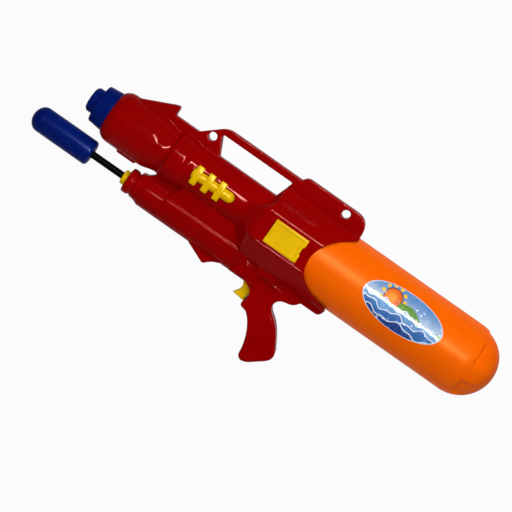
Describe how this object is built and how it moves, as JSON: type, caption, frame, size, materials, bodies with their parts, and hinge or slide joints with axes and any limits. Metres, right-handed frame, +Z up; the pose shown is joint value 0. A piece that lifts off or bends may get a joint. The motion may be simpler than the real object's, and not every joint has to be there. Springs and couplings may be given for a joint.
{
  "type": "pump action water squirter",
  "caption": "Hand-held toy water squirter with a pump handle under the barrel, a trigger valve, a carry handle and a screw-on tank at the rear.",
  "frame": {"origin": "the middle of the grip, where a hand holds it", "axes": "+X along the barrel towards the tank, +Y away from the pictured side, +Z up"},
  "size_m": [0.6313, 0.1026, 0.226],
  "materials": {
    "casing_red": "glossy moulded plastic",
    "part_blue": "glossy moulded plastic",
    "trim_yellow": "satin moulded plastic",
    "tank_orange": "blow-moulded plastic, soft gloss",
    "rod_black": "smooth black plastic",
    "inner_white": "plain moulded plastic",
    "seal_rubber": "black rubber",
    "spring_steel": "plated steel",
    "sticker_film": null
  },
  "bodies": {
    "casing": {"left_shell": "casing_red", "right_shell": "casing_red", "left_ribbed_insert": "trim_yellow", "right_ribbed_insert": "trim_yellow", "left_side_plate": "trim_yellow", "right_side_plate": "trim_yellow", "pump_bush": "trim_yellow", "screw_ramp": "spring_steel", "screw_fin_front": "spring_steel", "screw_fin_rear": "spring_steel", "screw_web": "spring_steel", "screw_grip_upper": "spring_steel", "screw_grip_lower": "spring_steel", "screw_lip": "spring_steel", "outlet_pipe": "inner_white", "nozzle_seal": "seal_rubber", "pump_cylinder": "inner_white", "pump_flap": "seal_rubber", "trigger_pin": "spring_steel", "trigger_spring": "spring_steel", "valve_body": "inner_white", "stem_seal": "seal_rubber", "valve_spring": "spring_steel", "tank_socket": "inner_white", "supply_hose": "inner_white", "pump_hose": "inner_white", "pickup_tube": "inner_white"},
    "pump": {"pump_handle": "part_blue", "pump_rod": "rod_black", "piston": "inner_white", "piston_ring": "seal_rubber"},
    "nozzle": {"nozzle": "part_blue"},
    "trigger": {"trigger": "trim_yellow"},
    "valve_stem": {"valve_stem": "inner_white"},
    "neck_ring": {"neck_seal": "seal_rubber"},
    "tank": {"tank": "tank_orange", "tank_sticker": "sticker_film"}
  },
  "joints": [
    {"name": "pump_slide", "type": "slide", "parent": "casing", "child": "pump", "axis": [1, 0, 0], "range_m": [-0.055, 0.044]},
    {"name": "nozzle_turn", "type": "hinge", "parent": "casing", "child": "nozzle", "pos_m": [-0.31, 0, 0.117], "axis": [1, 0, 0], "range_deg": [0, 90]},
    {"name": "trigger_pull", "type": "hinge", "parent": "casing", "child": "trigger", "pos_m": [-0.048, 0, 0.054], "axis": [0, -1, 0], "range_deg": [0, 14], "stiffness_Nm_per_rad": 0.1, "springref_deg": -5.73, "deforming": ["trigger_spring"]},
    {"name": "valve_push", "type": "slide", "parent": "casing", "child": "valve_stem", "axis": [-1, 0, 0], "range_m": [0, 0.0085], "deforming": ["valve_spring"]},
    {"name": "tank_unscrew", "type": "hinge", "parent": "casing", "child": "neck_ring", "pos_m": [-0.05, 0, 0.117], "axis": [1, 0, 0], "range_deg": [0, 540]},
    {"name": "tank_lift", "type": "slide", "parent": "neck_ring", "child": "tank", "axis": [1, 0, 0], "range_m": [0, 0.0061]}
  ],
  "couplings": [
    {"joint": "valve_push", "follows": "trigger_pull", "m_per_rad": 0.03},
    {"joint": "tank_lift", "follows": "tank_unscrew", "m_per_rad": 0.00063662}
  ]
}
